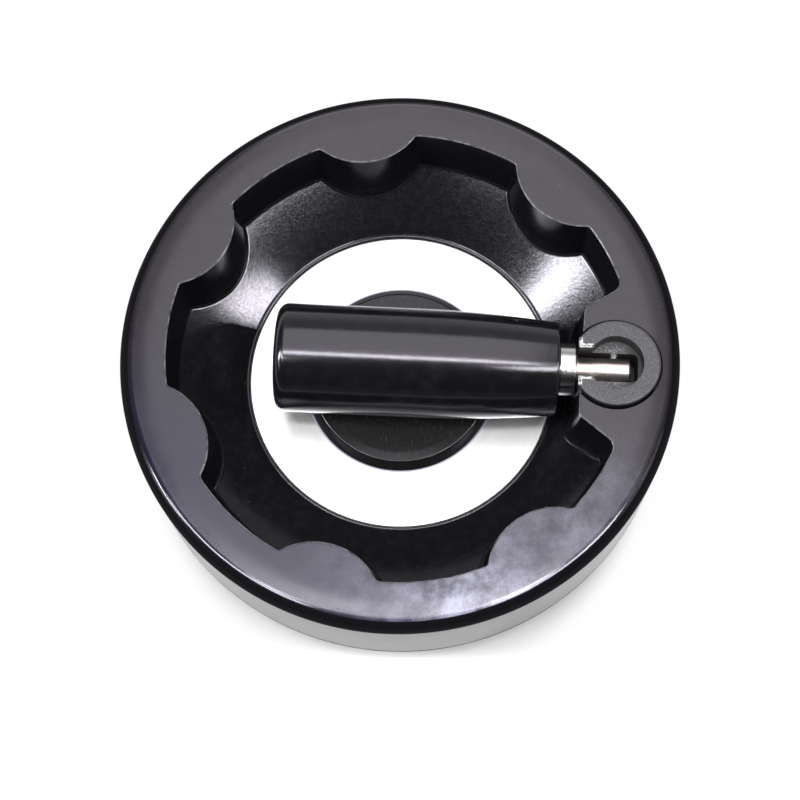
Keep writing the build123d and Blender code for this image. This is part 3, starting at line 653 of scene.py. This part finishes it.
class Number:
    """A value that varies over a surface; arithmetic on it adds Math nodes."""

    def __init__(self, nodes, socket):
        self.nodes, self.socket = nodes, socket

    __add__ = __radd__ = maths("ADD")
    __mul__ = __rmul__ = maths("MULTIPLY")
    __sub__, __rsub__ = maths("SUBTRACT"), maths("SUBTRACT", swapped=True)
    greatest, least = maths("MAXIMUM"), maths("MINIMUM")
    size, root = maths("ABSOLUTE"), maths("SQRT")

    def ramp(self, low, high, first, last):
        """Smoothly from the first value at low to the last at high."""
        return self.nodes.number("ShaderNodeMapRange", {
            "Value": self, "From Min": low, "From Max": high, "To Min": first, "To Max": last,
        }, interpolation_type="SMOOTHSTEP")

    def rise(self, low, high):
        """Smoothly from 0 at low to 1 at high."""
        return self.ramp(low, high, 0.0, 1.0)

    def fall(self, low, high):
        """Smoothly from 1 at low to 0 at high."""
        return self.ramp(low, high, 1.0, 0.0)

    def band(self, low, full, last, high):
        """1 from full to last, and smoothly down to 0 at low and at high."""
        return self.rise(low, full) * self.fall(last, high)


class Nodes:
    """The nodes of one material or of the world."""

    def __init__(self, tree):
        self.tree = tree
        tree.nodes.clear()

    def add(self, kind, sockets=None, **settings):
        """Adds a node of any type: its settings first, then its sockets by number or name."""
        node = self.tree.nodes.new(kind)
        for key, value in settings.items():
            setattr(node, key, value)
        for key, value in (sockets or {}).items():
            self.feed(node.inputs[key] if isinstance(key, int) else next(
                s for s in node.inputs if key in (s.identifier, s.name)), value)
        return node

    def feed(self, socket, value):
        """Links a socket or sets its constant; a colour is given as three numbers."""
        if isinstance(value, Number):
            value = value.socket
        if isinstance(value, bpy.types.NodeSocket):
            self.tree.links.new(value, socket)
        else:
            socket.default_value = (*value, 1.0) if socket.type == "RGBA" else value

    def result(self, kind, sockets=None, output=0, **settings):
        """A node's output socket."""
        return self.add(kind, sockets, **settings).outputs[output]

    def number(self, kind, sockets=None, output=0, **settings):
        """A node's output as a number to reckon with."""
        return Number(self, self.result(kind, sockets, output, **settings))

    def axes(self, vector):
        """The three parts of a vector."""
        split = self.add("ShaderNodeSeparateXYZ", {0: vector})
        return [Number(self, part) for part in split.outputs]

    def rays(self, *kinds):
        """For each kind of ray, 1 where the surface is seen by one."""
        path = self.add("ShaderNodeLightPath")
        return [Number(self, path.outputs[f"Is {kind} Ray"]) for kind in kinds]


class Finish(Nodes):
    """The nodes of one material, with places on the piece read in millimetres."""

    def __init__(self, name, **constants):
        self.material = bpy.data.materials.new(name)
        self.material.use_nodes = True
        super().__init__(self.material.node_tree)
        self.shader = self.add("ShaderNodeBsdfPrincipled", {
            key.replace("_", " "): value for key, value in constants.items()})
        self.surface = self.add("ShaderNodeOutputMaterial",
                                {"Surface": self.shader.outputs[0]}).inputs["Surface"]
        place = self.result("ShaderNodeTexCoord", output="Object")
        self.place = self.result("ShaderNodeVectorMath", {"Vector": place, "Scale": 1 / MM},
                                 operation="SCALE")
        self.x, self.y, self.z = self.axes(self.place)

    def noise(self, scale, detail=2.0, roughness=0.5, vector=None):
        """Cloudy noise from 0 to 1; scale is in waves per millimetre."""
        return self.number("ShaderNodeTexNoise", {
            "Vector": vector or self.place, "Scale": scale, "Detail": detail,
            "Roughness": roughness})

    def line_noise(self, along, scale, detail=3.0):
        """Noise that varies with one number only."""
        return self.number("ShaderNodeTexNoise", {"W": along, "Scale": scale, "Detail": detail},
                           noise_dimensions="1D")

    def cells(self, scale):
        """Distance to the nearest of scattered points."""
        return self.number("ShaderNodeTexVoronoi", {"Vector": self.place, "Scale": scale})

    def specks(self, scale, size, share):
        """Small round dust specks: near a cell's point, in the share of cells that have one."""
        cells = self.add("ShaderNodeTexVoronoi", {"Vector": self.place, "Scale": scale})
        near = Number(self, cells.outputs["Distance"]).fall(size * 0.4, size)
        chosen = self.number("ShaderNodeSeparateColor", {0: cells.outputs["Color"]})
        return near * chosen.rise(1 - share, 1 - share + 0.01)

    def radius(self, x=0.0, y=0.0):
        """Distance in millimetres from an axis along Z."""
        a, b = self.x - x, self.y - y
        return (a * a + b * b).root()

    def mix(self, factor, first, second):
        """A colour between two."""
        return self.result("ShaderNodeMix", {"Factor_Float": factor, "A_Color": first,
                                             "B_Color": second}, output=2, data_type="RGBA")

    def tones(self, factor, colour_, first, last):
        """A colour made darker or lighter: times the first share where the factor is 0, and
        times the last where it is 1."""
        return self.mix(factor, [c * first for c in colour_], [c * last for c in colour_])

    def cover(self, mask, shader):
        """Puts another shader over the surface where the mask is 1."""
        self.feed(self.surface, self.result("ShaderNodeMixShader", {
            0: mask, 1: self.shader.outputs[0], 2: shader}))

    def done(self, colour_, rough, height):
        """Sets what varies over the surface, its height in millimetres; gives the material."""
        bump = self.result("ShaderNodeBump", {"Strength": 1.0, "Distance": MM, "Height": height})
        for name, value in (("Base Color", colour_), ("Roughness", rough), ("Normal", bump)):
            self.feed(self.shader.inputs[name], value)
        return self.material


def give(scene, **finishes):
    """Gives each CAD node its finish."""
    for node, finish in finishes.items():
        material = finish(scene)
        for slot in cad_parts[node].material_slots:
            slot.material = material


# ---- finishes
VIOLET = (0.94, 0.905, 1.0)             # the cast of a reflection in the black mouldings


def moulding_finish(scene):
    """Black phenolic: ground satin face and turned satin side, glossy everywhere else."""
    colours, wheel = scene.finishes, sizes_of(scene.wheel_sizes)
    f = Finish("wheel_phenolic", Metallic=0.0, IOR=1.65, Specular_Tint=VIOLET)
    radius, high, rim = f.radius(), wheel.face_height, wheel.rim_radius
    dish_top = high - wheel.wall_depth
    band_top, band_foot = high - 4.2, 14.6             # of the satin band round the outside
    in_wave = radius.fall(52.4, 52.6)

    # Where it is satin: the ground face as far as its outer round, and the band.
    brow = radius.rise(52.5, 52.7) * f.z.rise(high - 1.1, high - 1.0)
    face = f.z.rise(high - 0.05, high - 0.015).greatest(brow) * radius.fall(rim - 2.2, rim - 2.0)
    side = radius.rise(rim - 0.03, rim - 0.01) * f.z.fall(band_top - 0.2, band_top)
    side = side * f.z.rise(band_foot, band_foot + 0.6)
    satin = face.greatest(side)

    cloud = f.noise(0.09, 4.0, 0.6)
    blotch = f.noise(0.35, 4.0, 0.65)
    lap = f.noise(2.2, 5.0, 0.7)
    sparkle = f.noise(3.4, 2.0, 0.7).rise(0.25, 0.75)

    # Painted sheen in three zones for the strip lamp's reflection, and its painted blue tint at
    # the front.
    painted_sheen = f.radius(18.0, -57.5).fall(2.0, 20.0) * 0.85
    painted_sheen = painted_sheen + f.radius(18.0, -54.0).fall(8.0, 44.0) * 0.34
    painted_sheen = painted_sheen + f.radius(46.0, -35.0).fall(4.0, 22.0) * 0.19
    painted_sheen = painted_sheen * f.noise(0.16, 4.0, 0.65).rise(0.22, 0.78) * (0.25 + lap + sparkle * 0.55)
    # Painted blue tint of the strip lamp's reflection, stronger towards the front of the face.
    bloom_and_blue_sheen = (f.y + f.x * 0.3).fall(-58.0, -5.0) * (0.55 + sparkle * 0.9)
    face_colour = f.tones(blotch * 0.4 + sparkle * 0.6, colours.ground_face, 0.4, 1.9)
    face_colour = f.mix(bloom_and_blue_sheen.least(1.0), face_colour, (0.008, 0.008, 0.025))
    face_colour = f.mix(painted_sheen.least(1.0), face_colour, colours.painted_sheen)

    gloss_colour = f.tones(f.noise(0.5, 3.0).rise(0.4, 0.8), colours.moulding, 1.0, 1.7)
    colour_ = f.mix(satin, gloss_colour, f.mix(side, face_colour, colours.rim_side))
    # Painted highlight: the wave's rounded top edge takes a pale colour for its reflection of the
    # lamps.
    painted_edge_highlight = f.z.band(high - 0.34, high - 0.24, high - 0.05, high - 0.02)
    painted_edge_highlight = painted_edge_highlight * in_wave * f.noise(0.7, 3.0, 0.6).rise(0.2, 0.7)
    colour_ = f.mix(painted_edge_highlight, colour_, colours.painted_edge_highlight)
    dust = f.specks(0.55, 0.075, 0.05).greatest(f.specks(0.25, 0.035, 0.12))
    dust = dust * radius.fall(rim - 6.5, rim - 4.5)
    colour_ = f.mix(dust * 0.6, colour_, (0.30, 0.30, 0.31))

    crown = radius.rise(rim - 6.5, rim - 4.0)
    polish = radius.rise(rim - 3.3, rim - 2.8)
    rough_face = colours.satin + (cloud - 0.5) * 0.14 + (lap - 0.5) * 0.16 * (1 - crown)
    rough_face = rough_face - crown * 0.06 - polish * 0.18
    dish = f.z.fall(dish_top, dish_top + 1.2) * radius.fall(49.5, 51.5)
    rough_gloss = colours.gloss + (f.noise(0.8, 3.0) - 0.5) * 0.10
    rough_gloss = rough_gloss + (sparkle - 0.5) * dish * 0.20
    rough = rough_gloss + (rough_face - rough_gloss) * satin + dust * 0.3

    peel = f.noise(1.3, 2.0) * (0.009 + dish * 0.004)
    peel = peel + f.noise(4.0, 2.0, 0.7) * (0.002 + dish * 0.005)
    ground = f.noise(2.6, 2.0) * 0.003 + f.noise(0.35, 2.0) * 0.012
    ground = (ground + f.noise(0.12, 2.0) * 0.07) * (1 - crown * 0.9)
    height = peel + (ground - peel) * satin + dust * 0.02

    # Rounds, walls and band give less of a reflection than the rest.
    edge = radius.rise(rim - 2.2, rim - 2.0) * f.z.rise(band_top - 0.15, band_top)
    # At the side's foot the satin band stops and the moulding is black without reflection: the
    # back round's own black, carried a little up the side as painted shade for the dark line at
    # the rim's shadow.
    foot = radius.rise(rim - 2.1, rim - 1.9) * f.z.fall(band_foot, band_foot + 0.6)
    wall = f.z.rise(dish_top + 0.1, dish_top + 1.2).greatest(radius.rise(50.6, 50.9))
    wall = wall * radius.rise(40.0, 40.5) * in_wave
    wall = wall * f.z.fall(high - 0.6, high - 0.4) * f.z.rise(29.0, 29.2)
    flat = f.result("ShaderNodeBsdfPrincipled", {
        "Base Color": colours.moulding, "Roughness": 0.6, "Specular IOR Level": 0.0})
    f.cover((edge.greatest(foot) * 0.94).greatest(wall * 0.7).greatest(side * 0.24), flat)
    return f.done(colour_, rough, height)


def cap_finish(scene):
    """Black moulded cap: fine satin on top, glossy bevel, light scratches."""
    f = Finish("cap_phenolic", Metallic=0.0, IOR=1.43, Specular_Tint=VIOLET)
    top = f.radius().fall(20.15, 20.35)
    cloud, fine = f.noise(0.25, 3.0, 0.6), f.noise(2.0, 4.0, 0.7)
    stretched = f.result("ShaderNodeVectorMath", {0: f.place, 1: (3.0, 0.35, 1.0)},
                         operation="MULTIPLY")
    scratch = f.noise(1.0, 3.0, 0.7, stretched).rise(0.60, 0.72)
    dust = f.specks(0.7, 0.10, 0.10)
    colour_ = f.tones(top * (0.25 + fine.rise(0.3, 0.7) * 0.75), scene.finishes.cap, 0.5, 1.0)
    colour_ = f.mix(top * scratch * 0.25, colour_, (0.12, 0.118, 0.115))
    # Painted reflection: a pale lavender ring at the cap's outer edge, where it reflects the
    # white hub.
    colour_ = f.mix(f.radius().rise(22.02, 22.1) * 0.9, colour_, scene.finishes.painted_cap_edge_reflection)
    rough = 0.12 + top * (0.14 + (cloud - 0.5) * 0.10 + scratch * 0.08) + dust * 0.3
    return f.done(f.mix(dust * 0.6, colour_, (0.28, 0.28, 0.28)), rough,
                  fine * 0.005 * top + f.noise(1.5, 2.0) * 0.004)


def socket_finish(scene):
    """Blackened steel: sandy grain with painted glints, burnished edges at the slot, and painted
    shade in the counterbore.
    """
    colours, sizes = scene.finishes, sizes_of(scene.handle_sizes)
    f = Finish("blackened_steel", IOR=1.6)
    x0, y0 = sizes.socket_x, sizes.socket_y
    side = (f.y - y0).size()
    mouth = side.band(3.25, 3.4, 3.95, 4.15) * f.z.rise(44.9, 45.05)
    mouth = mouth * f.x.fall(x0 - 5.2, x0 - 4.9)
    flat = f.x.fall(x0 - 7.6, x0 - 7.4) * f.z.rise(44.8, 44.95) * side.fall(5.2, 5.6)
    bare = mouth.greatest(flat) * f.noise(1.6, 3.0).rise(0.36, 0.50)
    top = f.z.rise(45.15, 45.4)
    floor = f.z.band(41.3, 41.42, 41.56, 41.7) * f.radius(x0, y0).fall(5.7, 6.2)
    # The floor's part towards +X is left out, so that it takes the painted shade below.
    floor = floor * f.x.fall(x0 + 1.0, x0 + 4.5)
    grain, cells = f.noise(4.5, 3.0, 0.75), f.cells(2.6)
    glint = cells.fall(0.10 + floor * 0.14, 0.18 + floor * 0.16)
    glint = glint * f.noise(0.9, 1.0).rise(0.45 - floor * 0.25, 0.58 - floor * 0.2)
    colour_ = f.tones(grain.rise(0.38, 0.66), colours.socket, 0.5, 1.55)
    # Painted shade: the counterbore's floor a third darker.
    colour_ = f.mix(floor * 0.35, colour_, (0.01, 0.01, 0.01))
    # Painted glints: bright specks in the colour, denser on the counterbore floor.
    colour_ = f.mix(glint * 0.6, colour_, (0.50, 0.50, 0.52))
    # Painted shade: all but the top and the lit floor near black, the recess walls and the
    # block's side.
    colour_ = f.mix(top.greatest(floor), (0.009, 0.009, 0.010), colour_)
    f.feed(f.shader.inputs["Metallic"], 0.30 * top)
    return f.done(f.mix(bare, colour_, colours.bare_steel),
                  0.46 + (grain - 0.5) * 0.2 - bare * 0.16, grain * 0.035 + cells * 0.012)


def hub_finish(scene):
    """Turned steel: fine rings on the face, plain turning marks on the boss."""
    f = Finish("turned_steel", Metallic=1.0)
    radius, cloud = f.radius(), f.noise(0.2, 4.0, 0.6)
    ring, broad = f.line_noise(radius, 7.0, 2.0), f.line_noise(radius, 1.1, 2.0)
    return f.done(f.tones(cloud.rise(0.3, 0.8), scene.finishes.hub, 1.0, 0.93),
                  0.37 + (ring - 0.5) * 0.10 + (broad - 0.5) * 0.06,
                  ring * 0.0007 + f.noise(3.0, 2.0) * 0.001)


def stem_finish(scene):
    """Ground steel with fine marks round the bar."""
    f = Finish("ground_steel", Metallic=1.0)
    ring, cloud = f.line_noise(f.x, 8.0, 4.0), f.noise(0.6, 3.0)
    return f.done(f.tones(cloud.rise(0.3, 0.7), scene.finishes.stem, 1.0, 0.86),
                  0.30 + (ring - 0.5) * 0.12, ring * 0.0006 + cloud * 0.002)


def pin_finish(scene):
    """Polished hinge pin."""
    f = Finish("pin_steel", Metallic=1.0)
    ring = f.line_noise(f.y, 6.0, 3.0)
    return f.done(f.mix(ring, (0.80, 0.79, 0.78), (0.62, 0.61, 0.61)), 0.18 + ring * 0.12,
                  ring * 0.002)


def collar_finish(scene):
    """Polished plated collar with faint marks from turning."""
    f = Finish("polished_plate", Metallic=1.0)
    ring, smear = f.line_noise(f.x, 5.0, 4.0), f.noise(0.9, 3.0, 0.6)
    return f.done(f.tones(smear.rise(0.35, 0.75), scene.finishes.collar, 1.0, 0.88),
                  0.20 + (ring - 0.4) * 0.12 + smear.rise(0.5, 0.8) * 0.08,
                  ring * 0.0022 + f.noise(4.0, 2.0) * 0.0012)


def grip_finish(scene):
    """Glossy black moulding with faint orange peel and a little dust."""
    colours = scene.finishes
    f = Finish("grip_phenolic", Metallic=0.0, IOR=1.65, Specular_Tint=VIOLET)
    cloud = f.noise(0.3, 3.0)
    dust = f.specks(0.5, 0.06, 0.06).greatest(f.specks(1.3, 0.06, 0.02))
    colour_ = f.tones(cloud.rise(0.4, 0.8), colours.grip, 1.0, 1.7)
    return f.done(f.mix(dust * 0.6, colour_, (0.28, 0.28, 0.29)),
                  colours.gloss + (cloud - 0.5) * 0.06 + dust * 0.3,
                  f.noise(1.1, 2.0) * 0.010 + f.noise(4.5, 2.0) * 0.003 + dust * 0.02)


def screw_finish(scene):
    """Oiled blackened screws with a few rubbed places."""
    f = Finish("oiled_screw", Metallic=0.8)
    rub = f.noise(0.8, 4.0, 0.65).rise(0.55, 0.72)
    return f.done(f.tones(rub, scene.finishes.screw, 1.0, 2.4), 0.38 - rub * 0.12,
                  f.noise(5.0, 3.0) * 0.004)


def zinc_finish(scene):
    """Zinc plate with a cloudy bloom."""
    f = Finish("zinc_plate", Metallic=1.0)
    bloom_and_blue_sheen = f.noise(1.2, 4.0, 0.65)
    return f.done(f.tones(bloom_and_blue_sheen.rise(0.3, 0.7), scene.finishes.zinc, 1.0, 0.8),
                  0.28 + bloom_and_blue_sheen * 0.16, f.noise(6.0, 3.0) * 0.003)


def spring_finish(scene):
    """Oiled spring wire with drawing marks."""
    f = Finish("spring_wire", Metallic=1.0)
    drawn = f.noise(3.0, 3.0)
    return f.done(f.mix(drawn, (0.34, 0.34, 0.35), (0.52, 0.52, 0.53)), 0.30 + drawn * 0.12,
                  drawn * 0.003)


# ---- stage
AIM = Vector((0.0, 0.0, 0.03))          # middle of the wheel, where the lamps point
WHITE = (1.0, 1.0, 1.0)


def lamp(name, place, width, depth, radiance, turned=0.0):
    """A rectangular soft lamp, hidden from the camera, turned about the line to its aim."""
    data = bpy.data.lights.new(name, "AREA")
    data.shape = "RECTANGLE"
    data.size, data.size_y = width, depth
    data.energy = radiance * pi * width * depth
    lamp_object = in_scene(name, data)
    lamp_object.location = place
    facing = (AIM - Vector(place)).to_track_quat("-Z", "Y")
    lamp_object.rotation_euler = (facing @ Quaternion((0.0, 0.0, 1.0), turned)).to_euler()
    lamp_object.visible_camera = False


def overhead(degrees, distance):
    """A place over the wheel in the YZ plane, at an angle from the front horizon."""
    angle = radians(degrees)
    return 0.0, -cos(angle) * distance, AIM.z + sin(angle) * distance


def make_camera(scene):
    """A long lens, from in front and above: its axes to the right, up and back, and its
    place."""
    data = bpy.data.cameras.new("camera")
    data.lens, data.sensor_width, data.sensor_height = 81.0, 36.0, 36.0
    data.clip_start = 0.01
    camera = in_scene("camera", data)
    right = (0.99850274, 0.05190141, -0.01727756)
    up = (-0.04504535, 0.95934842, 0.27860639)
    back = (0.03103526, -0.27741097, 0.96024995)
    place = Matrix((right, up, back)).transposed().to_4x4()
    place.translation = (0.0131289, -0.12169644, 0.425574)
    camera.matrix_world = place
    scene.camera = camera


def make_lamps():
    """Two broad ceilings, a strip that the front of the rim face reflects, with its two ends,
    and the lamps at the sides that make the bright patches in the dish."""
    lamp("ceiling_wide", overhead(124, 0.9), 0.98, 1.62, 0.33)
    lamp("ceiling_near", overhead(110, 0.88), 0.52, 0.86, 1.6)
    lamp("strip", overhead(83, 0.8), 0.44, 0.065, 19.5)
    for end in (-1, 1):
        lamp("strip_end", (end * 0.33, -0.19, 0.80), 0.36, 0.10, 16.5, radians(-27.0 * end))
    away = 0.7
    lamp("side_left", Vector((-0.706, -0.158, 0.690)) * away, 0.10, 0.24, 29.0)
    lamp("side_left_soft", Vector((-0.715, -0.36, 0.60)) * away, 0.20, 0.12, 2.5)
    lamp("side_right", Vector((0.723, -0.085, 0.684)) * away, 0.19, 0.13, 20.0)


def make_floor(scene):
    """A pale floor that keeps the shadow near the wheel, and is white to the camera and in
    reflections further out."""
    size, low = 3.0, -0.0002
    corners = [(x * size, y * size, low) for x, y in ((-1, -1), (1, -1), (1, 1), (-1, 1))]
    mesh = bpy.data.meshes.new("floor")
    mesh.from_pydata(corners, [], [(0, 1, 2, 3)])
    floor = in_scene("floor", mesh)
    f = Finish("floor", Roughness=0.9, Base_Color=scene.finishes.floor)
    seen, glossy, through = f.rays("Camera", "Glossy", "Transmission")
    narrower, shadow_end, white_from, whiteness = 1.13, 65.4, 72.6, 0.97
    across = f.x * narrower
    far = (across * across + f.y * f.y).root().rise(shadow_end, white_from) * whiteness
    light = f.result("ShaderNodeEmission", {"Color": WHITE, "Strength": 1.0})
    f.cover((seen + glossy + through).least(1.0) * far, light)
    mesh.materials.append(f.material)


def make_world(scene):
    """White to the camera and dim as light; in reflections brighter near the horizon than
    overhead, and behind the wheel than in front."""
    world = bpy.data.worlds.new("studio")
    scene.world = world
    world.use_nodes = True
    w = Nodes(world.node_tree)
    y, z = w.axes(w.result("ShaderNodeTexCoord", output="Generated"))[1:]
    mirrored = z.ramp(0.14, 0.34, 1.0, 0.03) * y.ramp(-0.6, 0.0, 0.06, 0.65)
    seen, glossy, through, diffuse = w.rays("Camera", "Glossy", "Transmission", "Diffuse")
    fill = 0.06
    strength = (glossy + through) * mirrored + seen + diffuse * fill
    sky = w.result("ShaderNodeBackground", {"Color": WHITE, "Strength": strength})
    w.add("ShaderNodeOutputWorld", {"Surface": sky})


class OBJECT_OT_stage(bpy.types.Operator):
    """Make the camera, the lamps, the pale floor and the world"""
    bl_idname = "handwheel.stage"
    bl_label = "Stage"

    def execute(self, context):
        scene = context.scene
        make_camera(scene)
        make_lamps()
        make_floor(scene)
        make_world(scene)
        scene.view_settings.view_transform = "Standard"
        return {"FINISHED"}


# ---- add-on
class VIEW3D_PT_handwheel(bpy.types.Panel):
    """Lists the operators that make the handwheel and the sizes and colours they use"""
    bl_idname = "VIEW3D_PT_handwheel"
    bl_label = "Machine Handwheel"
    bl_space_type = "VIEW_3D"
    bl_region_type = "UI"
    bl_category = "Handwheel"

    def draw(self, context):
        layout, scene = self.layout, context.scene
        for operator in OPERATORS:
            layout.operator(operator.bl_idname)
        for group in (scene.wheel_sizes, scene.handle_sizes, scene.finishes):
            box = layout.box()
            for key in group.__annotations__:
                box.prop(group, key)


OPERATORS = (OBJECT_OT_stage, OBJECT_OT_wheel_moulding, OBJECT_OT_hub_and_cap, OBJECT_OT_socket,
             OBJECT_OT_handle)
CLASSES = (WheelSizes, HandleSizes, Finishes, *OPERATORS, VIEW3D_PT_handwheel)
GROUPS = {"wheel_sizes": WheelSizes, "handle_sizes": HandleSizes, "finishes": Finishes}


def register():
    for cls in CLASSES:
        bpy.utils.register_class(cls)
    for name, group in GROUPS.items():
        setattr(bpy.types.Scene, name, PointerProperty(type=group))


def unregister():
    for name in GROUPS:
        delattr(bpy.types.Scene, name)
    for cls in reversed(CLASSES):
        bpy.utils.unregister_class(cls)


def main():
    register()
    for operator in OPERATORS:
        module, name = operator.bl_idname.split(".")
        getattr(getattr(bpy.ops, module), name)()


if __name__ == "__main__":
    main()
